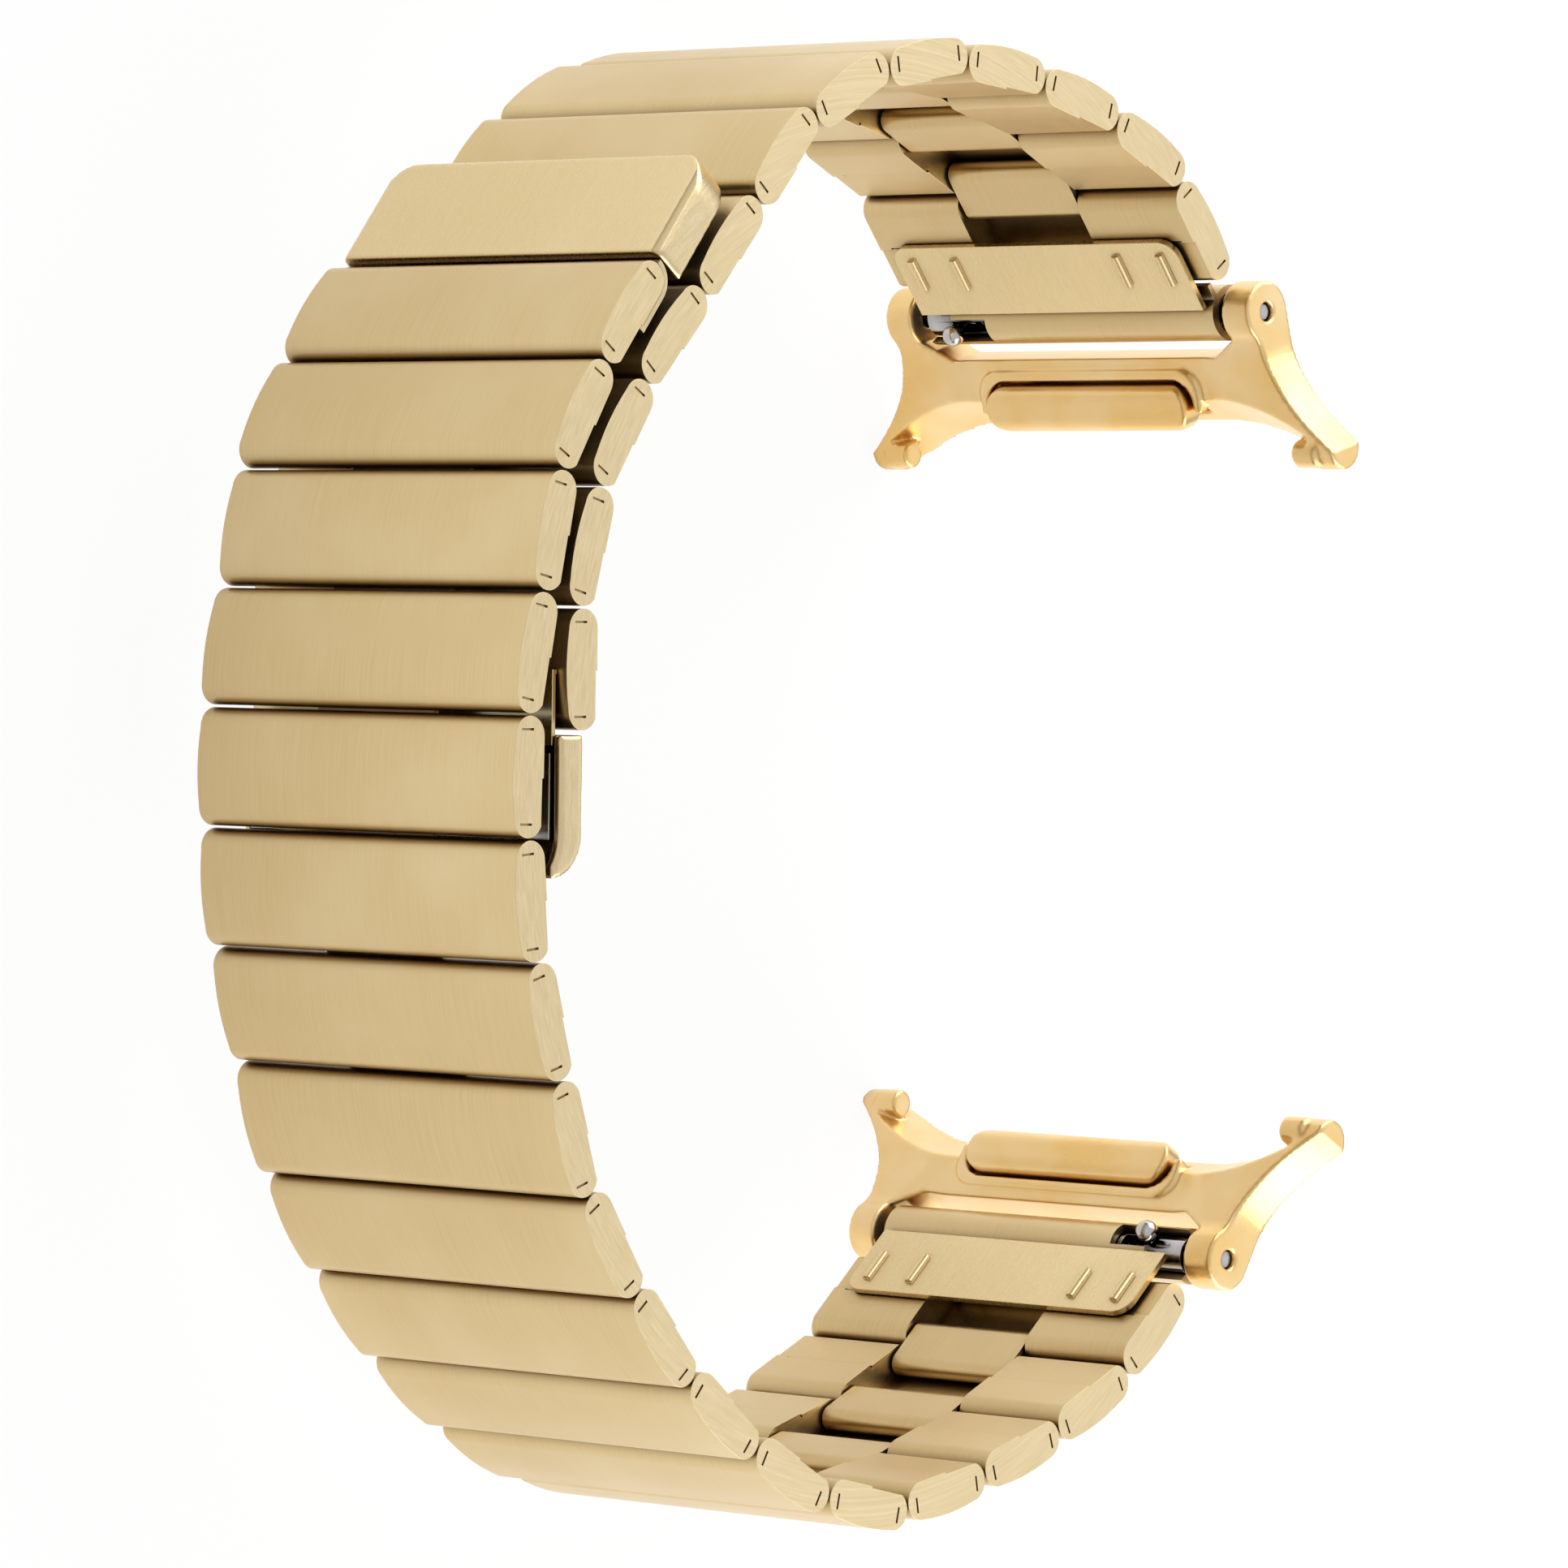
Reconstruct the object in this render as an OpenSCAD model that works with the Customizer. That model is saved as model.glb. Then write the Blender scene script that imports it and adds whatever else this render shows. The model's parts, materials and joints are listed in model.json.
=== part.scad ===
// Magnetic link watch band: two strap halves of folded sheet links that lap over each other,
// held by a magnet end piece on each, with a click-in lug adapter at both watch ends.
// The band lies on its side: X and Y are the plane of the loop, Z is the width of the band.

/* [Links] */
// Width of a link from side face to side face
band_w = 22; // [20:0.5:24]
// Distance from one hinge to the next
pitch = 6; // [5.6:0.1:6.6]
// Radius of a link's round ends, half of its flat thickness
end_r = 0.98; // [0.94:0.02:1.1]
// Height of the outer crown above the flat thickness
crown_h = 0.16; // [0.1:0.02:0.24]
// Gap between the round ends of two links
link_gap = 0.12; // [0.1:0.02:0.2]
// Width of the open window in the middle of a link's inner side
window_w = 8.4; // [7:0.2:9.4]
// How much lower the tail flap sits than the head flap
flap_step = 0.1; // [0.06:0.02:0.14]
// Length of the weld slits in the side faces
slit_l = 0.8; // [0.5:0.1:1]
// Width of the weld slits and of the flap seam
slit_w = 0.12; // [0.08:0.02:0.16]

/* [Pins and connectors] */
// Diameter of a link pin
pin_d = 0.7; // [0.6:0.02:0.76]
// Radial play of a connector that turns on a pin
pin_play = 0.03; // [0.02:0.01:0.05]
// How far a pin reaches into each side of a link
pin_seat = 2; // [1.2:0.1:3]
// Outer radius of a connector's rolled barrel
barrel_r = 0.68; // [0.62:0.01:0.7]
// Sheet thickness of the connectors
strap_t = 0.3; // [0.24:0.02:0.34]
// Play between a barrel and the link skin round it
barrel_play = 0.06; // [0.05:0.01:0.1]
// Play between a connector and each side of the window
side_play = 0.15; // [0.1:0.01:0.25]

/* [Lapped ends] */
// Clear space between the two straps where they lap
lap_gap = 0.95; // [0.9:0.05:1.3]
// Length of the outer clasp cover
clasp_l = 6.5; // [5.5:0.1:6.8]
// How far the clasp cover's outer face lies below the flat of the link
clasp_drop = 0.35; // [0:0.05:0.5]
// Radius of the clasp cover's corners at its free end
clasp_corner = 2.4; // [1.6:0.1:2.8]
// Wall of the clasp cover and of the inner end cover
cover_wall = 0.5; // [0.4:0.05:0.7]
// Clear space between the clasp cover and the strap that it grips
grip_gap = 0.3; // [0.2:0.05:0.5]
// Thickness of the hook strips that hold the end pieces on their links
strip_t = 0.25; // [0.2:0.01:0.3]
// Space between a hook strip and the pieces beside it
strip_gap = 0.08; // [0.06:0.01:0.12]
// Length of the inner end cover
inner_l = 6.9; // [6:0.1:8]
// How far the inner end cover is set back from the wrist side of its link
inner_shift = 0.88; // [0.7:0.01:0.95]
// Height of the inner end cover from its face to its rim
inner_h = 1.6; // [1.5:0.05:1.7]
// Outer radius of the inner end cover's curled end
inner_curl = 2.1; // [2:0.05:2.2]
// How far the inner magnet stands out of its cover
magnet_proud = 0.15; // [0.1:0.05:0.25]

/* [Lug adapter] */
// Distance from the last link pin to the spring bar
bar_reach = 3.3; // [3.2:0.05:4]
// Distance from the spring bar to the middle of the arms' round noses
arm_l = 7.4; // [7.2:0.1:8]
// Radius of the ears round the spring bar
ear_r = 1.65; // [1.6:0.05:1.8]
// Thickness of an ear
ear_t = 1.8; // [1.6:0.05:2]
// Half of the adapter's width across its arms
tip_half = 16.2; // [15.6:0.1:16.6]
// Radius of the arms' round noses
tip_r = 1.2; // [1.1:0.05:1.3]
// Thickness of an arm at its nose
arm_t = 1.6; // [1.4:0.1:1.8]
// Radius of the concave edge towards the watch
arc_r = 15.5; // [14:0.5:18]
// Half of the straight middle of that edge
arc_flat = 7.5; // [7.2:0.1:8]
// Lean of the wall under that edge, in degrees
arc_lean = 38; // [30:1:40]
// Where the crossbar starts, measured from the spring bar
bar_edge = 2.3; // [2.2:0.05:2.5]
// Where the concave edge lies in the middle, measured from the spring bar
arc_mid = 4.6; // [4.5:0.05:4.8]
// Radius of the round lugs that click into the watch
nub_r = 0.75; // [0.65:0.05:0.85]
// Length of the round lugs
nub_l = 1; // [0.8:0.1:1.2]

/* [Latch] */
// Length of the latch bar across the adapter
latch_w = 14; // [12:0.2:14.2]
// Width of the latch bar
latch_h = 2.65; // [2.4:0.05:2.8]
// How far the latch bar stands out of the crossbar
latch_proud = 0.7; // [0.5:0.05:0.8]
// Travel of the latch bar when it is pressed
latch_travel = 0.5; // [0.3:0.05:0.5]
// Play between the latch bar and its recess
latch_play = 0.15; // [0.1:0.01:0.18]
// Thickness of the latch's leaf spring
leaf_t = 0.15; // [0.1:0.01:0.16]

/* [Spring bar] */
// Outer radius of the spring bar
bar_r = 1; // [0.9:0.02:1.04]
// Wall of the sheet rolled round the spring bar
roll_t = 0.42; // [0.34:0.02:0.5]
// Radius of the spring bar's end tips
tip_pin_r = 0.42; // [0.36:0.01:0.44]
// Radial play of a tip in its ear
tip_play = 0.08; // [0.05:0.01:0.1]
// Travel of the release tip
tip_travel = 1.6; // [1:0.1:1.7]
// Radius of the release knob
knob_r = 0.6; // [0.5:0.02:0.64]
// Distance from the release knob to the ear beside it
knob_inset = 2.9; // [2.6:0.1:3.4]

/* [Cover plate at the watch end] */
// Thickness of the ridged plate
plate_t = 0.35; // [0.3:0.01:0.4]
// Space between the ridged plate and the link under it
plate_gap = 0.08; // [0.06:0.01:0.14]
// Height of the pressed ridges
ridge_h = 0.26; // [0.15:0.01:0.3]
// Length of the pressed ridges
ridge_l = 1.95; // [1.5:0.05:2.4]

/* [Hidden] */

gold = "#d9c391";
cast_gold = "#e2b976";
pale_gold = "#d6c7a2";
chrome = "#c9c9cc";
nickel = "#e3e1db";
steel = "#a9a9ad";

pin_r = pin_d / 2;
head = 2 * end_r + link_gap;
pin_half = (pitch - head) / 2;
centre = head + pin_half;
link_half = pin_half + end_r;
crown_r = (pin_half * pin_half + crown_h * crown_h) / (2 * crown_h);
pocket_r = barrel_r + barrel_play;
strap_top = strap_t - barrel_r;
skin_end = strap_top + 0.18;
fine = 48;

// Rest headings of the links, in degrees, followed round the loop from the upper adapter.
short_heading = [127, 153, 164, 173, 189, 209, 228, 229, 227, 236, 254, 269];
long_heading = [401, 384, 376, 369, 346, 329, 319, 309, 302, 287, 285, 274, 268, 258, 257,
    238, 231];
root_no = 8;
last_long = 17;
last_short = 12;
upper_turn = -23;
lower_turn = 18;
root_at = [-13.66, 26.83];
mid_z = tip_half;
lap = 2 * end_r + crown_h + lap_gap;
lap_along = 7.14 * pitch / 6;

function along(a) = [cos(a), sin(a)];
function outward(a) = [sin(a), -cos(a)];
function short_h(i) = short_heading[i - 1];
function long_h(i) = long_heading[i - 1];
function short_up(i) = i == root_no
    ? root_at - pin_half * along(short_h(i))
    : short_up(i + 1) - pitch * along(short_h(i));
function short_down(i) = i == root_no
    ? root_at + pin_half * along(short_h(i))
    : short_down(i - 1) + pitch * along(short_h(i));
function short_at(i) = i == root_no ? root_at
    : i < root_no ? short_up(i + 1) - centre * along(short_h(i))
    : short_down(i - 1) + centre * along(short_h(i));
clasp_link_at = root_at + lap_along * along(short_h(root_no)) + lap * outward(short_h(root_no));
function long_tail(i) = i == last_long
    ? clasp_link_at + pin_half * along(long_h(i))
    : long_tail(i + 1) + pitch * along(long_h(i));
function long_at(i) = i == last_long ? clasp_link_at
    : long_tail(i + 1) + centre * along(long_h(i));
upper_bar_at = short_up(1) - bar_reach * along(short_h(1));
lower_bar_at = long_tail(1) + bar_reach * along(long_h(1));

// Places a piece drawn with X along the strap away from the root link and Y outwards.
module lay(at, heading, turned) {
    translate([at[0], at[1], mid_z])
        rotate([0, 0, heading])
            rotate([turned ? 180 : 0, 0, 0])
                children();
}

module on_short(i) {
    if (i < root_no) lay(short_at(i), short_h(i) + 180, false) children();
    else lay(short_at(i), short_h(i), true) children();
}

module on_long(i) {
    lay(long_at(i), long_h(i), true) children();
}

module on_upper_bar(turn = 0) {
    lay(upper_bar_at, short_h(1) + 180 + turn, false) children();
}

module on_lower_bar(turn = 0) {
    lay(lower_bar_at, long_h(1) + turn, true) children();
}

// A block given by its low and high corners.
module block(low, high) {
    translate(low) cube(high - low);
}

// A cylinder along Z at [x, y] between two heights.
module rod(at, r, z0, z1) {
    translate([at[0], at[1], z0]) cylinder(r = r, h = z1 - z0, $fn = fine);
}

module link_outline() {
    for (s = [-1, 1]) rod([s * pin_half, 0], end_r, -band_w / 2, band_w / 2);
    intersection() {
        block([-pin_half, -end_r, -band_w / 2], [pin_half, end_r + crown_h, band_w / 2]);
        translate([0, end_r + crown_h - crown_r, -band_w / 2])
            cylinder(r = crown_r, h = band_w, $fn = 180);
    }
}

// The folded skin: round ends, side flaps with a seam, and a window over the pins.
module link_shell() {
    w = window_w / 2;
    side = band_w / 2;
    difference() {
        link_outline();
        for (s = [-1, 1]) rod([s * pin_half, 0], pocket_r, -w, w);
        block([-pin_half, -end_r - 1, -w], [pin_half, pocket_r, w]);
        block([-pitch, -end_r - 1, -w], [pitch, skin_end, w]);
        block([slit_w / 2, -end_r - 1, -side - 1], [pitch, flap_step - end_r, side + 1]);
        block([-slit_w / 2, -end_r - 1, -side + slit_l], [slit_w / 2, 2 * slit_w - end_r, side - slit_l]);
        for (s = [-1, 1]) {
            rod([s * pin_half, 0], pin_r + pin_play, -w - pin_seat, w + pin_seat);
            for (z = [-side, side])
                translate([s * (pin_half + end_r / 3), end_r / 6, z])
                    cube([slit_w, slit_l, 2 * slit_w], center = true);
        }
    }
}

module link_pins() {
    reach = window_w / 2 + pin_seat - 0.1;
    for (s = [-1, 1]) rod([s * pin_half, 0], pin_r, -reach, reach);
}

// The folded loop that joins a link to the one before it.
module connector() {
    w = window_w / 2 - side_play;
    difference() {
        union() {
            for (x = [-pin_half, -pin_half - head]) rod([x, 0], barrel_r, -w, w);
            block([-pin_half - head, -barrel_r, -w], [-pin_half, strap_top, w]);
        }
        for (x = [-pin_half, -pin_half - head])
            rod([x, 0], pin_r + pin_play, -w - 1, w + 1);
    }
}

module link(joined = true) {
    color(gold) link_shell();
    color(steel) link_pins();
    if (joined) color(gold) connector();
}

// A slab with two round corners at its low X end.
module end_slab(x0, x1, low, high, side, r) {
    block([x0, low, r - side], [x1, high, side - r]);
    block([x0 + r, low, -side], [x1, high, side]);
    for (s = [-1, 1]) translate([x0 + r, low, s * (side - r)]) rotate([-90, 0, 0])
        cylinder(r = r, h = high - low, $fn = fine);
}

// The clasp cover, drawn on the last link of the long strap.
hook_in = end_r + strip_gap;
hook_out = hook_in + strip_t;
clasp_end = -pin_half - hook_out - strip_gap;
clasp_start = clasp_end - clasp_l;
clasp_top = end_r - clasp_drop;
clasp_low = end_r + crown_h + grip_gap - lap;
clasp_edge = 0.35;
clasp_round = 0.6;
magnet_play = 0.1;

module clasp_cover() {
    side = band_w / 2;
    color(gold) difference() {
        intersection() {
            end_slab(clasp_start, clasp_end, clasp_low, clasp_top, side, clasp_corner);
            union() {
                block([clasp_start, clasp_low, -side], [clasp_end, clasp_top - clasp_round, side]);
                block([clasp_start + clasp_round, clasp_low, -side], [clasp_end, clasp_top, side]);
                rod([clasp_start + clasp_round, clasp_top - clasp_round], clasp_round, -side, side);
            }
            translate([clasp_start, 0, 0]) rotate([0, 90, 0]) linear_extrude(height = clasp_l)
                polygon([[-side, clasp_low], [-side, clasp_top - clasp_edge],
                    [-side + clasp_edge, clasp_top], [side - clasp_edge, clasp_top],
                    [side, clasp_top - clasp_edge], [side, clasp_low]]);
        }
        end_slab(clasp_start + cover_wall, clasp_end - cover_wall, clasp_low - 1,
            clasp_top - cover_wall, side - cover_wall, clasp_corner - cover_wall);
    }
}

module clasp_magnet() {
    inset = cover_wall + magnet_play;
    color(nickel)
        end_slab(clasp_start + inset, clasp_end - inset, clasp_low + magnet_play,
            clasp_top - inset, band_w / 2 - inset, clasp_corner - inset);
}

// The strip that runs from the clasp cover round the end of the last long link to its seam.
module clasp_hook() {
    side = band_w / 2 - strip_gap;
    w = window_w / 2 - side_play;
    color(pale_gold) difference() {
        union() {
            intersection() {
                difference() {
                    rod([-pin_half, 0], hook_out, -side, side);
                    rod([-pin_half, 0], hook_in, -band_w, band_w);
                }
                block([-pitch, -pitch, -side], [-pin_half, 0, side]);
            }
            block([-pin_half - hook_out, 0, -side], [-pin_half - hook_in, clasp_top - clasp_round, side]);
            block([-pin_half, -hook_out, -side], [strip_t, -hook_in, side]);
            block([0, -hook_out, -side], [strip_t, flap_step - end_r - 0.03, side]);
            block([-pin_half - barrel_r / 2, -hook_out, -w], [-pin_half + barrel_r / 2, 0, w]);
            rod([-pin_half, 0], barrel_r, -w, w);
        }
        rod([-pin_half, 0], pin_r + pin_play, -band_w, band_w);
    }
}

// The inner end cover, drawn on the last link of the short strap.
inner_start = link_half + 2 * link_gap;
inner_low = inner_shift - end_r;
inner_rim = inner_low + inner_h;
curl_x = inner_start + inner_l - inner_curl;
curl_y = inner_low + inner_curl;
curl_tip = 0.6;
curl_w = inner_curl - curl_tip;
curl_h = inner_curl - inner_h;
curl_r = (curl_w * curl_w + curl_h * curl_h) / (2 * curl_h);

module inner_section(inset, side) {
    block([inner_start + inset, inner_low + inset, -side], [curl_x, inner_rim + 2 * inset, side]);
    intersection() {
        rod([curl_x, curl_y], inner_curl - inset, -side, side);
        block([curl_x, inner_low, -side], [curl_x + inner_curl, curl_y, side]);
    }
}

module inner_end_cover() {
    side = band_w / 2;
    color(gold) difference() {
        inner_section(0, side);
        inner_section(cover_wall, side - cover_wall);
        rod([curl_x, inner_rim + curl_r], curl_r, -side, side);
        block([inner_start - 1, inner_rim - strip_t - 0.05, -side + cover_wall],
            [inner_start + cover_wall + 1, inner_rim + 1, side - cover_wall]);
    }
}

module inner_end_magnet() {
    gap = cover_wall + magnet_play;
    side = band_w / 2 - gap;
    color(nickel)
        block([inner_start + gap + strip_t, inner_low + gap, -side],
            [curl_x + strip_t, inner_rim + magnet_proud, side]);
}

// The strip that hooks the inner end cover over the last short link.
module inner_end_hook() {
    side = band_w / 2 - cover_wall - magnet_play;
    w = window_w / 2 - side_play;
    crown = end_r + crown_h;
    leg = inner_start - 0.03;
    color(pale_gold) difference() {
        union() {
            block([0, inner_rim - strip_t, -side], [inner_start + cover_wall, inner_rim, side]);
            block([0, crown + 0.03, -side], [strip_t, inner_rim, side]);
            block([leg - strip_t / 2, strap_top - strap_t, -w], [leg, inner_rim, w]);
            block([pin_half, -barrel_r, -w], [leg, strap_top, w]);
            rod([pin_half, 0], barrel_r, -w, w);
        }
        rod([pin_half, 0], pin_r + pin_play, -band_w, band_w);
    }
}

// Lug adapter, drawn with the spring bar along Z and X towards the watch.
ear_in = band_w / 2 - 0.05;
ear_out = ear_in + ear_t;
arm_in = tip_half - arm_t;
nose_y = 0.5;
bar_low = -0.45;
face_w = 8.2;
face_end = ear_in - 0.05;
flare_x = 1.5;
nub_at = [arm_l + 0.2, nose_y - 0.7];
recess_x = 3.5;
recess_top = 1;
rim_w = 0.7;
rim_h = 0.25;
latch_x = recess_x + latch_play;
latch_low = bar_low - latch_proud;
latch_top = recess_top - latch_travel - leaf_t - 0.05;
latch_end_r = 1.3;
catch_x = 3.9;
catch_w = 0.6;
catch_z = latch_w / 2 + 0.5;
catch_t = 0.3;

// Outline from above: the ears, the crossbar, and the arms that swing outwards to their noses.
module adapter_plan() {
    flare = [for (i = [0:12]) i / 12];
    for (s = [-1, 1]) polygon(concat([[-ear_r, s * ear_in], [-ear_r, s * ear_out]],
        [for (t = flare) [flare_x + (arm_l - flare_x) * t, s * (ear_out + (tip_half - ear_out) * t * t)]],
        [[arm_l + tip_r, s * tip_half], [arm_l + tip_r, 0], [bar_edge, 0],
            [bar_edge, s * (ear_in - 1.8)], [bar_edge - 1.1, s * ear_in]]));
}

// Outline from the side: the ear, an arm that gets thinner, and its nose.
module adapter_side() {
    circle(r = ear_r, $fn = fine);
    polygon([[0, ear_r], [0, -ear_r], [1.7, -0.95], [4, -0.72], [arm_l, nose_y - tip_r],
        [arm_l, nose_y + tip_r]]);
    translate([arm_l, nose_y]) circle(r = tip_r, $fn = fine);
}

// The hollow between the arms that takes the watch's edge; its wall leans outwards.
module watch_hollow() {
    intersection() {
        translate([arc_mid, bar_low, 0]) rotate([0, 0, -arc_lean]) {
            block([0, -arc_r, -arc_flat], [arc_r, arc_r, arc_flat]);
            for (s = [-1, 1]) translate([arc_r, 0, s * arc_flat]) rotate([90, 0, 0])
                cylinder(r = arc_r, h = 2 * arc_r, center = true, $fn = 180);
        }
        block([0, -arc_r, -arm_in], [arc_r, arc_r, arm_in]);
    }
}

// A bar with round ends, lying across the adapter.
module pill(x0, x1, low, high, half, r) {
    block([x0, low, r - half], [x1, high, half - r]);
    for (s = [-1, 1]) {
        block([x0 + r, low, s > 0 ? 0 : -half], [x1 - r, high, s > 0 ? half : 0]);
        for (x = [x0 + r, x1 - r]) translate([x, low, s * (half - r)]) rotate([-90, 0, 0])
            cylinder(r = r, h = high - low, $fn = fine);
    }
}

module adapter_frame() {
    half = latch_w / 2;
    color(cast_gold) difference() {
        union() {
            difference() {
                intersection() {
                    rotate([90, 0, 0])
                        linear_extrude(height = 4 * ear_r, center = true) adapter_plan();
                    linear_extrude(height = 2 * tip_half, center = true) adapter_side();
                }
                watch_hollow();
                rotate([90, 0, 90]) translate([0, 0, bar_edge - 1.2]) linear_extrude(height = arm_l)
                    polygon([[-pitch, -face_end], [-1, -face_end], [bar_low, -face_w],
                        [bar_low, face_w], [-1, face_end], [-pitch, face_end]]);
            }
            intersection() {
                pill(latch_x - rim_w, latch_x + latch_h + rim_w, bar_low - rim_h, 0, half + rim_w,
                    latch_end_r);
                block([0, -pitch, -band_w], [arc_mid + rim_w, pitch, band_w]);
            }
            for (s = [-1, 1]) rod(nub_at, nub_r, s > 0 ? arm_in - nub_l : -arm_in - 0.5,
                s > 0 ? arm_in + 0.5 : nub_l - arm_in);
        }
        pill(recess_x, recess_x + latch_h + 2 * latch_end_r, -pitch, recess_top, half + latch_play,
            latch_end_r);
        block([catch_x - latch_play, -latch_play, -catch_z - latch_play],
            [catch_x + catch_w + latch_play, recess_top, catch_z + latch_play]);
        rod([0, 0], tip_pin_r + tip_play, -tip_half, tip_half);
    }
}

// The latch bar; a catch at each end keeps it in the recess.
module latch_bar() {
    half = latch_w / 2;
    round_r = 0.9;
    color(cast_gold) union() {
        intersection() {
            pill(latch_x, latch_x + latch_h, latch_low, latch_top, half, latch_end_r);
            union() {
                block([latch_x, latch_low + round_r, -half], [latch_x + latch_h, latch_top, half]);
                block([latch_x + round_r, latch_low, -half], [latch_x + latch_h - round_r, latch_top, half]);
                for (x = [latch_x + round_r, latch_x + latch_h - round_r])
                    rod([x, latch_low + round_r], round_r, -half, half);
            }
        }
        block([catch_x, latch_top - catch_t, -catch_z], [catch_x + catch_w, latch_top, catch_z]);
    }
}

// A bowed leaf between the latch bar and the bottom of its recess.
module latch_spring() {
    half = 5.5;
    rise = recess_top - latch_top - leaf_t - 0.04;
    bow_r = (half * half + rise * rise) / (2 * rise);
    y = latch_top + 0.02 + leaf_t + bow_r;
    color(steel) intersection() {
        difference() {
            translate([catch_x, y, 0]) rotate([0, 90, 0]) cylinder(r = bow_r + leaf_t, h = 1, $fn = 180);
            translate([0, y, 0]) rotate([0, 90, 0]) cylinder(r = bow_r, h = pitch, $fn = 180);
        }
        block([catch_x, latch_top, -half], [catch_x + 1, recess_top - 0.02, half]);
    }
}

// The spring bar: the release knob is on the -Z side, the fixed tip on the +Z side.
roll_in = bar_r + 0.06;
roll_r = roll_in + roll_t;
bar_end = ear_in - 0.7;
bar_bore = 0.62;
knob_z = knob_inset - ear_in;
slot_start = knob_z - 0.5;
knob_y = -roll_r - 0.2;
tip_reach = ear_out - 0.25;
plunger_end = knob_z + 0.8;
spring_end = plunger_end + 5;

module spring_bar() {
    color(chrome) difference() {
        rod([0, 0], bar_r, -bar_end, bar_end);
        rod([0, 0], bar_bore, slot_start, spring_end);
        rod([0, 0], tip_pin_r + 0.04, -bar_end - 1, 0);
        block([-0.35, -2, slot_start + 0.1], [0.35, 0, knob_z + tip_travel + 0.4]);
        rod([0, 0], tip_pin_r + 0.02, bar_end - 1.4, bar_end + 1);
    }
}

module fixed_tip() {
    color(chrome) rod([0, 0], tip_pin_r, bar_end - 1.35, tip_reach);
}

module release_tip() {
    color(chrome) union() {
        rod([0, 0], tip_pin_r, -tip_reach, knob_z);
        rod([0, 0], bar_bore - 0.04, slot_start + 0.03, plunger_end);
        translate([0, 0, knob_z]) rotate([90, 0, 0])
            cylinder(r = 0.28, h = -knob_y, $fn = 24);
        translate([0, knob_y, knob_z]) sphere(r = knob_r, $fn = fine);
    }
}

module bar_spring() {
    color(steel) difference() {
        rod([0, 0], bar_bore - 0.04, plunger_end + 0.03, spring_end - 0.03);
        rod([0, 0], bar_bore - 0.2, plunger_end, spring_end);
    }
}

// Sheet sleeve rolled round the spring bar and hooked on the last pin of the first link. It is
// cut away beside the ear, and slotted for the release knob.
module bar_sleeve() {
    w = 2.3;
    web_start = link_gap - bar_reach + end_r;
    slot = knob_r + 0.12;
    color(gold) difference() {
        union() {
            rod([0, 0], roll_r, -bar_end, bar_end);
            block([web_start, -barrel_r, knob_z], [-roll_in, strap_top, bar_end]);
            block([-bar_reach, -barrel_r, -w], [web_start, strap_top, w]);
            rod([-bar_reach, 0], barrel_r, -w, w);
        }
        rod([0, 0], roll_in, -band_w, band_w);
        rod([-bar_reach, 0], pin_r + pin_play, -band_w, band_w);
        block([-roll_r - 0.1, -roll_r - 0.1, -bar_end - 1], [slot, 0.3, knob_z - 0.1]);
        block([-slot, -roll_r - 0.1, knob_z - 0.2], [slot, 0, knob_z + tip_travel + slot]);
    }
}

// Ridged plate that closes the inner side of the first link.
module ridged_plate() {
    side = band_w / 2 - 1.1;
    top = -end_r - plate_gap;
    low = top - plate_t;
    x0 = -bar_reach - pin_half - 0.3;
    x1 = -sqrt(roll_r * roll_r - top * top) - 0.12;
    corner = 1;
    leg_in = 2.5;
    leg_out = window_w / 2 - side_play;
    color(gold) difference() {
        union() {
            block([x0 + corner, low, -side], [x1, top, side]);
            block([x0, low, corner - side], [x1, top, side - corner]);
            for (s = [-1, 1]) {
                translate([x0 + corner, low, s * (side - corner)]) rotate([-90, 0, 0])
                    cylinder(r = corner, h = plate_t, $fn = fine);
                z0 = s > 0 ? leg_in : -leg_out;
                z1 = s > 0 ? leg_out : -leg_in;
                block([-bar_reach - barrel_r * 0.6, low, z0], [-bar_reach + barrel_r * 0.6, 0, z1]);
                rod([-bar_reach, 0], barrel_r, z0, z1);
                for (z = [side - 1.2, side - 4.2])
                    translate([x0 + 0.75, low, s * z]) rotate([0, 90, 0])
                        cylinder(r = ridge_h, h = ridge_l, $fn = 24);
            }
        }
        rod([-bar_reach, 0], pin_r + pin_play, -band_w, band_w);
    }
}

on_short(1) link();  // short_link_01
on_short(2) link();  // short_link_02
on_short(3) link();  // short_link_03
on_short(4) link();  // short_link_04
on_short(5) link();  // short_link_05
on_short(6) link();  // short_link_06
on_short(7) link();  // short_link_07
on_short(8) link(false);  // short_link_08
on_short(9) link();  // short_link_09
on_short(10) link();  // short_link_10
on_short(11) link();  // short_link_11
on_short(12) link();  // short_link_12
on_long(1) link();  // long_link_01
on_long(2) link();  // long_link_02
on_long(3) link();  // long_link_03
on_long(4) link();  // long_link_04
on_long(5) link();  // long_link_05
on_long(6) link();  // long_link_06
on_long(7) link();  // long_link_07
on_long(8) link();  // long_link_08
on_long(9) link();  // long_link_09
on_long(10) link();  // long_link_10
on_long(11) link();  // long_link_11
on_long(12) link();  // long_link_12
on_long(13) link();  // long_link_13
on_long(14) link();  // long_link_14
on_long(15) link();  // long_link_15
on_long(16) link();  // long_link_16
on_long(17) link(false);  // long_link_17
on_long(last_long) clasp_cover();
on_long(last_long) clasp_magnet();
on_long(last_long) clasp_hook();
on_short(last_short) inner_end_cover();
on_short(last_short) inner_end_magnet();
on_short(last_short) inner_end_hook();
on_upper_bar(upper_turn) adapter_frame();  // upper_adapter_frame
on_upper_bar(upper_turn) latch_bar();  // upper_latch_bar
on_upper_bar(upper_turn) latch_spring();  // upper_latch_spring
on_upper_bar() bar_sleeve();  // upper_bar_sleeve
on_upper_bar() ridged_plate();  // upper_ridged_plate
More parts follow.
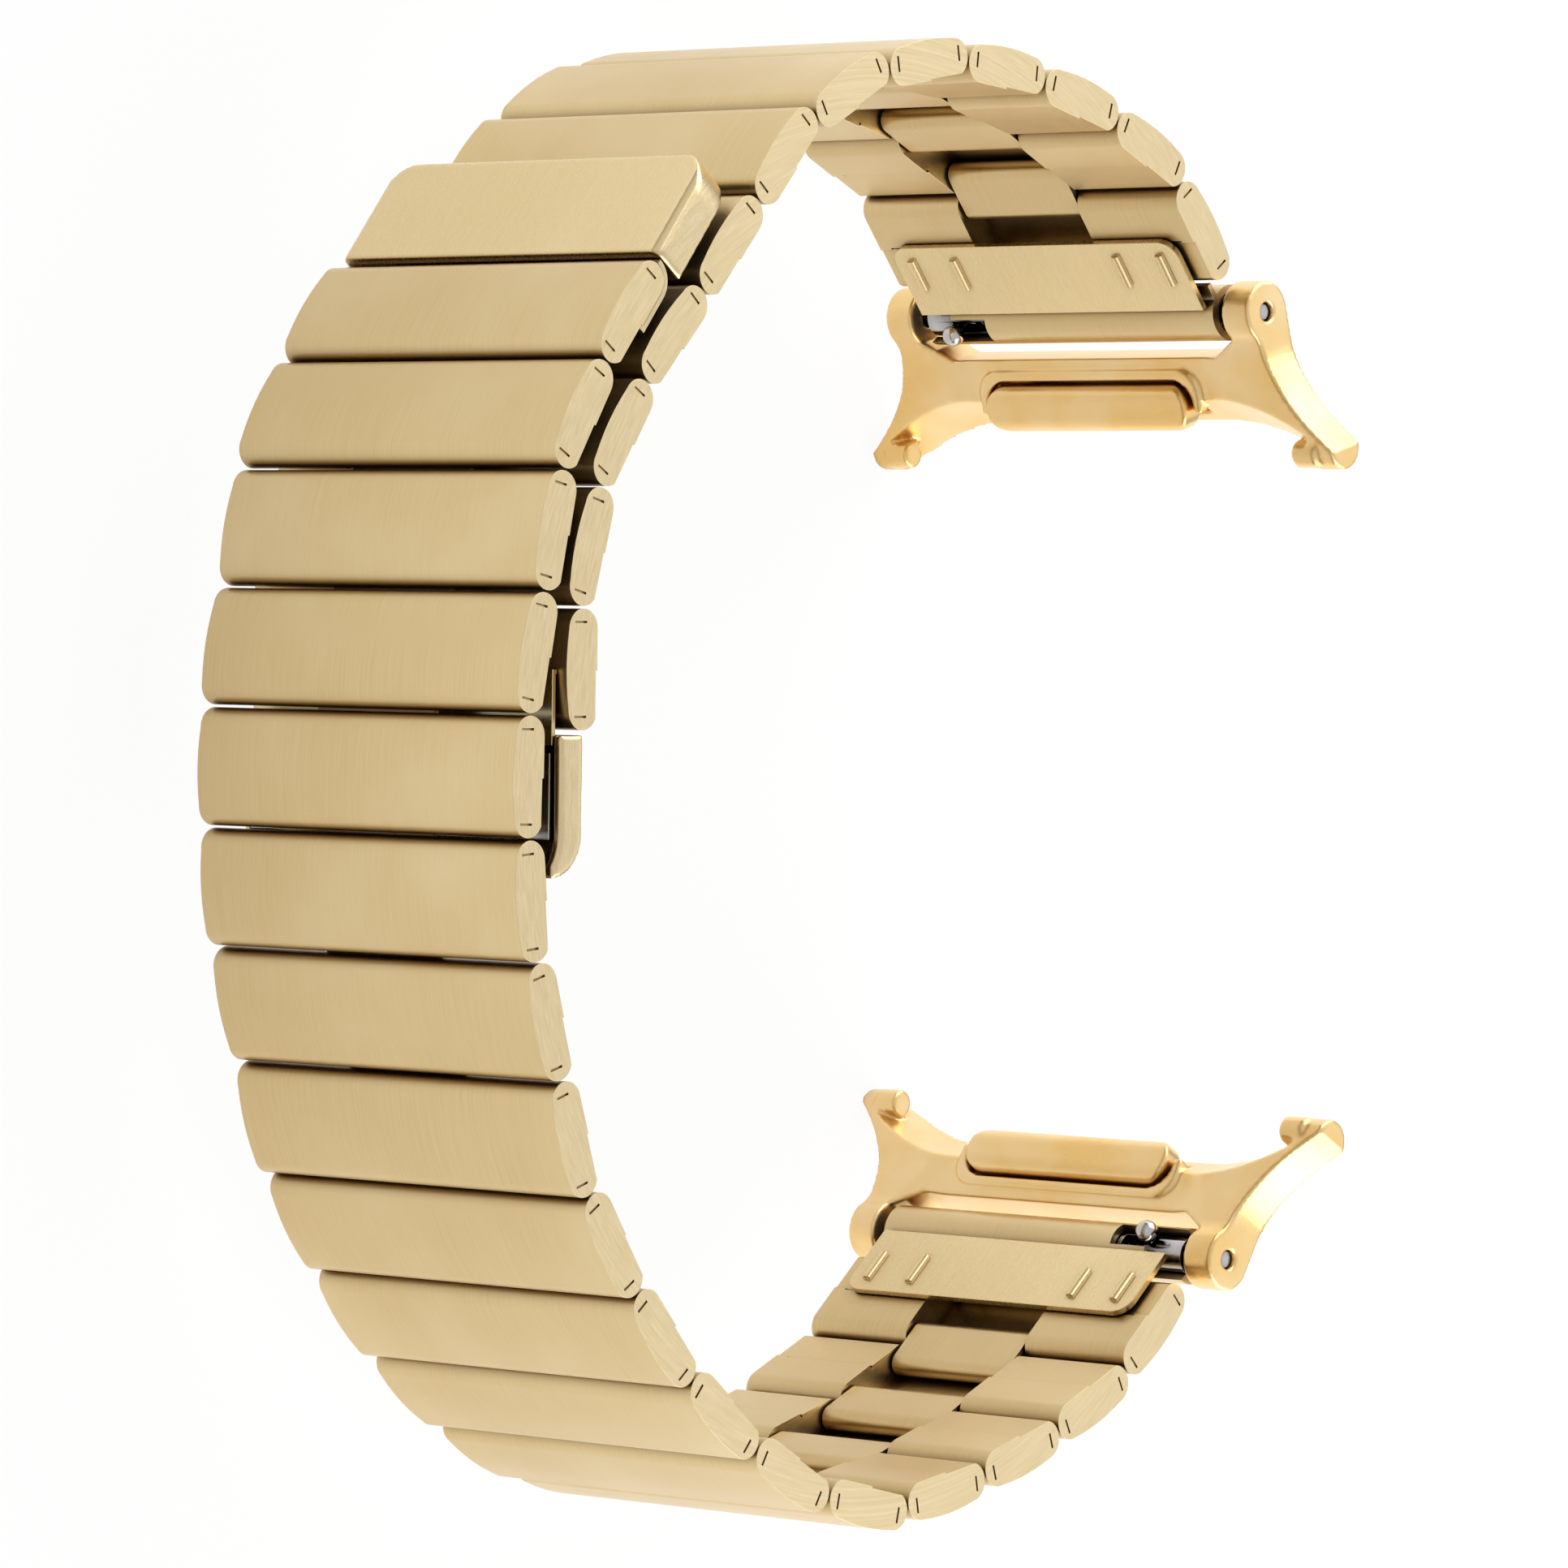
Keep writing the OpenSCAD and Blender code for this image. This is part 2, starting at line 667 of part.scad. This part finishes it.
on_upper_bar() spring_bar();  // upper_spring_bar
on_upper_bar() fixed_tip();  // upper_fixed_tip
on_upper_bar() release_tip();  // upper_release_tip
on_upper_bar() bar_spring();  // upper_bar_spring
on_lower_bar(lower_turn) adapter_frame();  // lower_adapter_frame
on_lower_bar(lower_turn) latch_bar();  // lower_latch_bar
on_lower_bar(lower_turn) latch_spring();  // lower_latch_spring
on_lower_bar() bar_sleeve();  // lower_bar_sleeve
on_lower_bar() ridged_plate();  // lower_ridged_plate
on_lower_bar() spring_bar();  // lower_spring_bar
on_lower_bar() fixed_tip();  // lower_fixed_tip
on_lower_bar() release_tip();  // lower_release_tip
on_lower_bar() bar_spring();  // lower_bar_spring
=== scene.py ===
import json
from math import cos, pi, radians, sin

import bmesh
import bpy
from mathutils import Matrix, Vector

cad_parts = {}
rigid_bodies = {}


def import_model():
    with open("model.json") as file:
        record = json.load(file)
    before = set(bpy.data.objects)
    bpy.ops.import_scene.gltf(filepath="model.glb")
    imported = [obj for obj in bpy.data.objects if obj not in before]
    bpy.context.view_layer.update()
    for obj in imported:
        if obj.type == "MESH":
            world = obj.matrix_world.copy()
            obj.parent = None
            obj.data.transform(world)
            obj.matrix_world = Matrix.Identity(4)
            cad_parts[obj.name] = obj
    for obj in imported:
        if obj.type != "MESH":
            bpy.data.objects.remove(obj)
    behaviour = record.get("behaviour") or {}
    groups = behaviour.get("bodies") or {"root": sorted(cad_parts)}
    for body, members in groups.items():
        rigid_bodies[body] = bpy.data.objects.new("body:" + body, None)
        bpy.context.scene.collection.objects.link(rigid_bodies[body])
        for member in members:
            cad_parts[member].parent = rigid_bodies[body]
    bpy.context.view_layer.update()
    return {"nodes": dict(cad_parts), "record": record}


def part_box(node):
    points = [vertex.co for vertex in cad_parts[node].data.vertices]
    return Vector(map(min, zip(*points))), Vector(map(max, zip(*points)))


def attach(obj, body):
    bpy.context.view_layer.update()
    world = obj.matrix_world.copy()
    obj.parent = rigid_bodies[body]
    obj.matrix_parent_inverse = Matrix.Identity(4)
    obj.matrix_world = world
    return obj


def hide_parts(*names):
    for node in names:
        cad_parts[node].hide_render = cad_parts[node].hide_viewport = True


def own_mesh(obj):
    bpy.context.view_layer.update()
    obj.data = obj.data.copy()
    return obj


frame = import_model()
nodes = frame["nodes"]
scene = bpy.context.scene
MM = 0.001

# ---- Camera ----
# A long lens, as in the photograph: above the near edge of the band, which lies on its side, and
# turned so that the loop's +Y runs up the picture.
photo_size = 1932
focal_px = 10286.45
sensor = 36.0
right = Vector((0.679679, 0.0, 0.733510))
back = Vector((-0.733001, 0.037237, 0.679208))
up = back.cross(right)
# The lens looks past the aim, so the camera stands beside it by these two steps.
aim = Vector((18.09, -15.27, 16.2)) * MM
distance = 441.81 * MM
side_step = -10.936 * MM
up_step = 14.481 * MM
clip_near = 0.01
clip_far = 10.0
camera_data = bpy.data.cameras.new("camera")
camera_data.sensor_width = sensor
camera_data.lens = focal_px / photo_size * sensor
camera_data.clip_start = clip_near
camera_data.clip_end = clip_far
camera = bpy.data.objects.new("camera", camera_data)
place = aim + right * side_step + up * up_step + back * distance
camera.matrix_world = Matrix.Translation(place) @ Matrix((right, up, back)).transposed().to_4x4()
scene.collection.objects.link(camera)
scene.camera = camera

# ---- Links and their connectors ----
# Folded sheet steel with gold plating: the crowned outside is finely brushed along the strap, and
# the cut side faces are ground flat. Each link hangs on two pins, and its cut edges are broken.
link_names = [name for name in nodes if "_link_" in name]
link_edge = 0.1 * MM
edge_segments = 2
weld_distance = 0.002 * MM
flat_angle = radians(1)
smooth_angle = radians(24)
round_angle = radians(28)


def colour(hex_code):
    """An sRGB colour as the linear values that a shader takes."""
    values = []
    for i in (0, 2, 4):
        c = int(hex_code[i:i + 2], 16) / 255
        values.append(c / 12.92 if c <= 0.04045 else ((c + 0.055) / 1.055) ** 2.4)
    return (*values, 1.0)


def add(tree, kind, inputs=None, **settings):
    """Adds a shader node; an input takes a value or another node's output socket."""
    node = tree.nodes.new(kind)
    for name, value in settings.items():
        setattr(node, name, value)
    for name, value in (inputs or {}).items():
        if isinstance(value, bpy.types.NodeSocket):
            tree.links.new(value, node.inputs[name])
        else:
            node.inputs[name].default_value = value
    return node


def smooth_by_angle(limit):
    """A geometry node group that shades smooth and keeps edges over the limit sharp."""
    group = bpy.data.node_groups.new("smooth_by_angle", "GeometryNodeTree")
    group.interface.new_socket("Geometry", in_out="INPUT", socket_type="NodeSocketGeometry")
    group.interface.new_socket("Geometry", in_out="OUTPUT", socket_type="NodeSocketGeometry")
    start = add(group, "NodeGroupInput")
    plain = add(group, "GeometryNodeRemoveAttribute",
                {0: start.outputs[0], "Name": "custom_normal"})
    faces = add(group, "GeometryNodeSetShadeSmooth",
                {0: plain.outputs[0], "Shade Smooth": True})
    angle = add(group, "GeometryNodeInputMeshEdgeAngle")
    sharp = add(group, "FunctionNodeCompare", {0: angle.outputs[0], 1: limit},
                operation="GREATER_THAN")
    edges = add(group, "GeometryNodeSetShadeSmooth",
                {0: faces.outputs[0], "Selection": sharp.outputs[0], "Shade Smooth": False},
                domain="EDGE")
    add(group, "NodeGroupOutput", {0: edges.outputs[0]})
    return group


smoothing = smooth_by_angle(smooth_angle)


def soften(piece, width):
    """Live modifiers that merge a CAD node's triangles into faces and round its edges."""
    weld = piece.modifiers.new("weld", "WELD")
    weld.merge_threshold = weld_distance
    flat = piece.modifiers.new("flat", "DECIMATE")
    flat.decimate_type = "DISSOLVE"
    flat.angle_limit = flat_angle
    shade = piece.modifiers.new("shade", "NODES")
    shade.node_group = smoothing
    edge = piece.modifiers.new("edge", "BEVEL")
    edge.width = width
    edge.segments = edge_segments
    edge.limit_method = "ANGLE"
    edge.angle_limit = round_angle
    edge.use_clamp_overlap = True
    edge.harden_normals = True


def finish(piece, material):
    """Puts one material on a piece, in place of what it had."""
    piece.data.materials.clear()
    piece.data.materials.append(material)


# A noise keeps mostly to the first span; the second one gives it more contrast.
noise_span = (0.3, 0.7)
strong_span = (0.35, 0.65)
relief_height = 0.02 * MM
# The grain is fine across the band and long along it, whatever way the link points. Real
# brushing is near 0.01 mm, too fine to show, so it is drawn as coarse as it needs.
grain_length = 4.0 * MM
grain_width = 0.035 * MM
cloud_size = 9.0 * MM
# The side faces look along the width of the band; their scratches follow the loop, which is
# longer than it is wide.
side_span = (0.75, 0.95)
side_pale = "E3D0A8"
side_dark = "D8C498"
side_relief = 0.3
loop_shape = (1.0, 0.82, 0.0)
scratch_length = 10 / 7 * MM
scratch_width = 0.12 * MM
# Painted shade: narrow gaps and recesses are darkened towards a dark brown.
gap_shade_colour = "6B4A2A"
gap_shade_depth = 0.9 * MM
gap_shade_span = (0.1, 0.97)
shade_samples = 4


def new_metal(name):
    """A material with its node tree and its shader, which is fully metallic."""
    material = bpy.data.materials.new(name)
    material.use_nodes = True
    tree = material.node_tree
    shader = tree.nodes["Principled BSDF"]
    shader.inputs["Metallic"].default_value = 1.0
    return material, tree, shader


def noise(tree, spot, scale, detail, roughness=0.5):
    """A noise value; the scale is one over the size of its grains."""
    return add(tree, "ShaderNodeTexNoise", {"Vector": spot, "Scale": scale, "Detail": detail,
                                            "Roughness": roughness}).outputs["Fac"]


def mix(tree, factor, low, high):
    """A colour between two colours."""
    return add(tree, "ShaderNodeMix", {"Factor": factor, "A": low, "B": high},
               data_type="RGBA").outputs[2]


def stretch(tree, value, span, to=(0.0, 1.0)):
    """A value carried from one span to another, and held inside it."""
    return add(tree, "ShaderNodeMapRange", {"Value": value, "From Min": span[0],
                                            "From Max": span[1], "To Min": to[0],
                                            "To Max": to[1]}).outputs[0]


def shade_mask(tree, depth, span):
    """0 in a gap that is narrow for the depth, 1 on an open face; painted shade follows it."""
    gap = add(tree, "ShaderNodeAmbientOcclusion", {"Distance": depth}, samples=shade_samples)
    return stretch(tree, gap.outputs["AO"], span)


def gold_metal(name, base, pale, rough, spread, relief):
    """Brushed plating: grain along the strap, faint clouds, ground side faces and painted shade in
    narrow gaps.
    """
    material, tree, shader = new_metal(name)
    where = add(tree, "ShaderNodeTexCoord")
    spot = where.outputs["Object"]
    fine = (1 / grain_length, 1 / grain_length, 1 / grain_width)
    drawn = add(tree, "ShaderNodeMapping", {"Vector": spot, "Scale": fine})
    grain = noise(tree, drawn.outputs[0], 1.0, detail=3.0, roughness=0.6)
    cloud = noise(tree, spot, 1 / cloud_size, detail=3.0)

    facing = add(tree, "ShaderNodeSeparateXYZ", {"Vector": where.outputs["Normal"]})
    aside = add(tree, "ShaderNodeMath", {0: facing.outputs["Z"]}, operation="ABSOLUTE")
    side = stretch(tree, aside.outputs[0], side_span)
    oval = add(tree, "ShaderNodeVectorMath", {0: spot, 1: loop_shape}, operation="MULTIPLY")
    reach = add(tree, "ShaderNodeVectorMath", {0: oval.outputs[0]}, operation="LENGTH")
    ring = add(tree, "ShaderNodeMath", {0: reach.outputs["Value"], 1: 1 / scratch_width},
               operation="MULTIPLY")
    drift = (1 / scratch_length, 1 / scratch_length, 0.0)
    turned = add(tree, "ShaderNodeMapping", {"Vector": spot, "Scale": drift})
    spin = add(tree, "ShaderNodeCombineXYZ", {"X": ring.outputs[0]})
    both = add(tree, "ShaderNodeVectorMath", {0: turned.outputs[0], 1: spin.outputs[0]},
               operation="ADD")
    scratch = noise(tree, both.outputs[0], 1.0, detail=4.0, roughness=0.7)

    marks = add(tree, "ShaderNodeMix", {"Factor": side, "A": grain, "B": scratch}).outputs[0]
    clouded = add(tree, "ShaderNodeMix", {"Factor": cloud, "A": marks, "B": cloud}).outputs[0]
    body = mix(tree, stretch(tree, clouded, noise_span), colour(base), colour(pale))
    ground = mix(tree, stretch(tree, scratch, strong_span), colour(side_dark), colour(side_pale))
    faced = mix(tree, side, body, ground)
    # Painted shade: the gaps take the dark brown in place of the plating.
    shaded_plating = mix(tree, shade_mask(tree, gap_shade_depth, gap_shade_span), colour(gap_shade_colour), faced)
    tree.links.new(shaded_plating, shader.inputs["Base Color"])
    matt = stretch(tree, marks, noise_span, to=(rough - spread, rough + spread))
    tree.links.new(matt, shader.inputs["Roughness"])
    deep = stretch(tree, side, (0.0, 1.0), to=(relief, side_relief))
    bump = add(tree, "ShaderNodeBump", {"Height": marks, "Strength": deep,
                                        "Distance": relief_height})
    tree.links.new(bump.outputs[0], shader.inputs["Normal"])
    return material


# Brushed gold plate: a soft sheen with grain along the strap, and streaky ground side faces.
brushed_gold = gold_metal("brushed gold plate", base="D4B985", pale="E2CDA0",
                          rough=0.34, spread=0.06, relief=0.18)
for name in link_names:
    finish(nodes[name], brushed_gold)
    soften(nodes[name], link_edge)

# ---- Clasp cover and inner end cover ----
# Pressed shells with the same plating as the links. The clasp cover has polished edges all round
# its outer face; the inner one is a channel whose free end curls outwards.
cover_step = 0.12 * MM
cover_passes = 6
smooth_share = 0.5


def melt(piece, step, passes):
    """Live modifiers that rebuild a CAD node evenly and smooth it, so that its edges are soft."""
    weld = piece.modifiers.new("weld", "WELD")
    weld.merge_threshold = weld_distance
    even = piece.modifiers.new("even", "REMESH")
    even.mode = "VOXEL"
    even.voxel_size = step
    even.use_smooth_shade = True
    soft = piece.modifiers.new("soft", "SMOOTH")
    soft.factor = smooth_share
    soft.iterations = passes


# Burnished gold plate: like the links but smoother, so that its round edges catch the light.
pressed_gold = gold_metal("burnished gold plate", base="E4CC99", pale="EAD5A8",
                          rough=0.27, spread=0.03, relief=0.02)
for name in ("clasp_cover", "inner_end_cover"):
    finish(nodes[name], pressed_gold)
    melt(nodes[name], cover_step, cover_passes)

# ---- Sleeves and ridged plates ----
# Thin plated sheet at the end of each strap: a sleeve rolled round the spring bar, and a pressed
# plate with four ridges that closes the inner side of the first link.
sheet_edge = 0.06 * MM
for end in ("upper", "lower"):
    finish(nodes[end + "_bar_sleeve"], brushed_gold)
    finish(nodes[end + "_ridged_plate"], pressed_gold)
    for part in ("bar_sleeve", "ridged_plate"):
        soften(nodes[end + "_" + part], sheet_edge)

# ---- Hook strips ----
# Spring strip under pale plating, bent round the last link of each strap to hold the end piece.
# It is brighter and smoother than the brushed pieces.
strip_edge = 0.05 * MM
# Smooth pale plating: rolled strip that keeps only a faint grain and mirrors more.
strip_gold = gold_metal("smooth pale plating", base="E3CE9C", pale="F0E2BC",
                        rough=0.22, spread=0.03, relief=0.1)
for name in ("clasp_hook", "inner_end_hook"):
    finish(nodes[name], strip_gold)
    soften(nodes[name], strip_edge)

# ---- Lug adapters and latch bars ----
# Castings with a warmer plating and a satin blasted skin; every edge is rounded in the mould. A
# frame turns on its spring bar, and a leaf spring holds the latch bar in the frame's recess.
cast_colour = "EDC782"
cast_pale = "F4D8A4"
cast_shade_colour = "B8853F"
cast_step = 0.11 * MM
cast_passes = 10
cast_shade_depth = 1.0 * MM
cast_shade_span = (0.1, 0.8)
cast_rough = (0.26, 0.36)
cast_peel = 0.25 * MM
cast_cloud = 5.0 * MM
cast_relief = 0.25

# Satin cast gold: warm, with a fine orange peel that spreads the highlights on its edges.
# Painted shade darkens its corners and recesses to a deeper tone.
cast_gold, tree, shader = new_metal("satin cast gold")
spot = add(tree, "ShaderNodeTexCoord").outputs["Object"]
peel = noise(tree, spot, 1 / cast_peel, detail=2.0)
cloud = noise(tree, spot, 1 / cast_cloud, detail=3.0)
body = mix(tree, stretch(tree, cloud, strong_span), colour(cast_colour), colour(cast_pale))
# Painted shade: corners and recesses take the deeper tone.
shaded_plating = mix(tree, shade_mask(tree, cast_shade_depth, cast_shade_span), colour(cast_shade_colour), body)
tree.links.new(shaded_plating, shader.inputs["Base Color"])
tree.links.new(stretch(tree, cloud, noise_span, to=cast_rough), shader.inputs["Roughness"])
bump = add(tree, "ShaderNodeBump", {"Height": peel, "Strength": cast_relief,
                                    "Distance": relief_height})
tree.links.new(bump.outputs[0], shader.inputs["Normal"])
for end in ("upper", "lower"):
    for part in ("adapter_frame", "latch_bar"):
        finish(nodes[end + "_" + part], cast_gold)
        melt(nodes[end + "_" + part], cast_step, cast_passes)

# ---- Spring bars and magnets ----
# Turned and polished steel bars, each with a fixed tip and a sliding tip that carries a knob, and
# nickel plated magnets that sit in the pockets of the two end pieces.
bar_edge = 0.05 * MM
wear_size = 0.8 * MM
wear_share = 0.3
# Painted shade: hollows, such as the bar ends sunk in the ears, are darkened to a grey brown.
hollow_shade_colour = "2E2A26"
hollow_shade_depth = 1.2 * MM
hollow_shade_span = (0.45, 0.95)


def worn_metal(name, code, rough):
    """Plain bright metal with faint wear, and painted shade that darkens its hollows."""
    material, tree, shader = new_metal(name)
    unshaded = shade_mask(tree, hollow_shade_depth, hollow_shade_span)
    tree.links.new(mix(tree, unshaded, colour(hollow_shade_colour), colour(code)),
                   shader.inputs["Base Color"])
    spot = add(tree, "ShaderNodeTexCoord").outputs["Object"]
    wear = noise(tree, spot, 1 / wear_size, detail=3.0)
    matt = stretch(tree, wear, noise_span, to=(rough * (1 - wear_share), rough * (1 + wear_share)))
    tree.links.new(matt, shader.inputs["Roughness"])
    return material


# Polished steel: sharp and cool, so that the knobs show small bright points.
polished_steel = worn_metal("polished steel", "C9C9CC", rough=0.12)
# Nickel plate: a pale, slightly warm mirror with soft edges.
nickel_plate = worn_metal("nickel plate", "E3E1DB", rough=0.22)
for name in nodes:
    if name.endswith(("spring_bar", "fixed_tip", "release_tip")):
        finish(nodes[name], polished_steel)
        soften(nodes[name], bar_edge)
    elif name.endswith("_magnet"):
        finish(nodes[name], nickel_plate)
        soften(nodes[name], bar_edge)

# ---- Coil springs and leaf springs ----
# Bare spring steel, not plated. A wound coil is built in each bar, and a copy of the bowed leaf
# lies in the frame's recess.
# In the band the coil shortens under the release tip and the leaf flattens when the latch bar is
# pressed; here both keep their rest shape.
coil_turns = 8
coil_wire = 0.16 * MM
turn_steps = 24
wire_sides = 8
leaf_angle = radians(30)


def wind(mesh, low, high):
    """Fills a box, given by its two corners, with a coil of round wire whose axis is Z."""
    radius = (high.x - low.x - coil_wire) / 2
    start = Vector(((low.x + high.x) / 2, (low.y + high.y) / 2, low.z + coil_wire / 2))
    steps = coil_turns * turn_steps
    rise = Vector((0, 0, (high.z - low.z - coil_wire) / steps))
    rings = []
    for i in range(steps + 1):
        turn = 2 * pi * i / turn_steps
        out = Vector((cos(turn), sin(turn), 0))
        ring = []
        for k in range(wire_sides):
            around = 2 * pi * k / wire_sides
            spoke = out * cos(around) + Vector((0, 0, sin(around)))
            ring.append(mesh.verts.new(start + rise * i + out * radius + spoke * coil_wire / 2))
        rings.append(ring)
    for one, two in zip(rings, rings[1:]):
        for k in range(wire_sides):
            after = (k + 1) % wire_sides
            mesh.faces.new((one[k], one[after], two[after], two[k]))
    mesh.faces.new(rings[0])
    mesh.faces.new(rings[-1])


# Bare spring steel: dull grey with soft glints.
spring_steel = worn_metal("bare spring steel", "A9A9AD", rough=0.3)
spring_joints = {joint["name"]: joint for joint in frame["record"]["behaviour"]["joints"]}
for end in ("upper", "lower"):
    for part, press in (("bar_spring", "release_slide"), ("latch_spring", "latch_press")):
        node = nodes[end + "_" + part]
        joint = spring_joints[end + "_" + press]
        mesh = bmesh.new()
        if part == "bar_spring":
            wind(mesh, *(Vector(corner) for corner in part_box(node.name)))
        else:
            mesh.from_mesh(node.data)
            bmesh.ops.remove_doubles(mesh, verts=mesh.verts, dist=weld_distance)
        bmesh.ops.recalc_face_normals(mesh, faces=mesh.faces)
        data = bpy.data.meshes.new(end + "_" + part)
        mesh.to_mesh(data)
        mesh.free()
        data.polygons.foreach_set("use_smooth", [True] * len(data.polygons))
        data.set_sharp_from_angle(angle=leaf_angle)
        piece = bpy.data.objects.new(end + "_visible_" + part, data)
        scene.collection.objects.link(piece)
        finish(piece, spring_steel)
        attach(piece, joint["parent"])
        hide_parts(node.name)
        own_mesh(piece)

# ---- Floor, light and background ----
# A plain white floor that keeps a faint shadow, in a white room. Two soft boxes stand behind the
# band, on either side of it, with a small lamp between them.
white = colour("FFFFFF")
floor_colour = colour("F6F6F6")
floor_half = 3.0
floor_drop = 0.2 * MM
# The camera sees the floor as nearly even white, and the metal mirrors a little of that.
glow_seen = 0.92
glow_mirrored = 0.1
floor_data = bpy.data.meshes.new("floor")
floor_data.from_pydata([(-floor_half, -floor_half, 0), (floor_half, -floor_half, 0),
                        (floor_half, floor_half, 0), (-floor_half, floor_half, 0)],
                       [], [(0, 1, 2, 3)])
floor = bpy.data.objects.new("floor", floor_data)
floor.location.z = -floor_drop
scene.collection.objects.link(floor)

# White floor: matt paper, which looks clean white and still takes a faint shadow.
white_floor = bpy.data.materials.new("white floor")
white_floor.use_nodes = True
tree = white_floor.node_tree
paper = tree.nodes["Principled BSDF"]
paper.inputs["Base Color"].default_value = floor_colour
paper.inputs["Roughness"].default_value = 1.0
glow = add(tree, "ShaderNodeEmission", {"Color": white, "Strength": 1.0})
ray = add(tree, "ShaderNodeLightPath")
shine = add(tree, "ShaderNodeMath", {0: ray.outputs["Is Glossy Ray"], 1: glow_mirrored},
            operation="MULTIPLY")
share = add(tree, "ShaderNodeMath", {0: ray.outputs["Is Camera Ray"], 1: glow_seen,
                                     2: shine.outputs[0]}, operation="MULTIPLY_ADD")
blend = add(tree, "ShaderNodeMixShader", {0: share.outputs[0], 1: paper.outputs[0],
                                          2: glow.outputs[0]})
tree.links.new(blend.outputs[0], tree.nodes["Material Output"].inputs["Surface"])
finish(floor, white_floor)

# The room is bright overhead and dimmer near the horizon, which draws the edges of the metal.
# The camera sees it as plain white.
horizon_level = 0.35
overhead_level = 0.72
overhead_height = 0.5
world = bpy.data.worlds.new("world")
scene.world = world
world.use_nodes = True
tree = world.node_tree
where = add(tree, "ShaderNodeTexCoord")
height = add(tree, "ShaderNodeSeparateXYZ", {"Vector": where.outputs["Object"]})
level = add(tree, "ShaderNodeMapRange",
            {"Value": height.outputs["Z"], "From Min": 0.0, "From Max": overhead_height,
             "To Min": horizon_level, "To Max": overhead_level},
            interpolation_type="SMOOTHSTEP")
room = tree.nodes["Background"]
room.inputs["Color"].default_value = white
tree.links.new(level.outputs[0], room.inputs["Strength"])
seen = add(tree, "ShaderNodeBackground", {"Color": white, "Strength": 1.0})
ray = add(tree, "ShaderNodeLightPath")
pick = add(tree, "ShaderNodeMixShader", {0: ray.outputs["Is Camera Ray"], 1: room.outputs[0],
                                         2: seen.outputs[0]})
tree.links.new(pick.outputs[0], tree.nodes["World Output"].inputs["Surface"])

# Each light: its name, its place, its size in metres and its power in watts.
lights = [("near_light", (0.3, -0.04, 0.2), 0.2, 0.05),
          ("top_light", (0.15, 0.22, 0.16), 0.3, 0.62),
          ("low_light", (0.1, -0.24, 0.16), 0.3, 0.66)]
for name, spot, size, power in lights:
    data = bpy.data.lights.new(name, "AREA")
    data.size = size
    data.energy = power
    lamp = bpy.data.objects.new(name, data)
    lamp.matrix_world = (Matrix.Translation(spot)
                         @ Vector(spot).to_track_quat("Z", "Y").to_matrix().to_4x4())
    scene.collection.objects.link(lamp)
scene.view_settings.view_transform = "Standard"
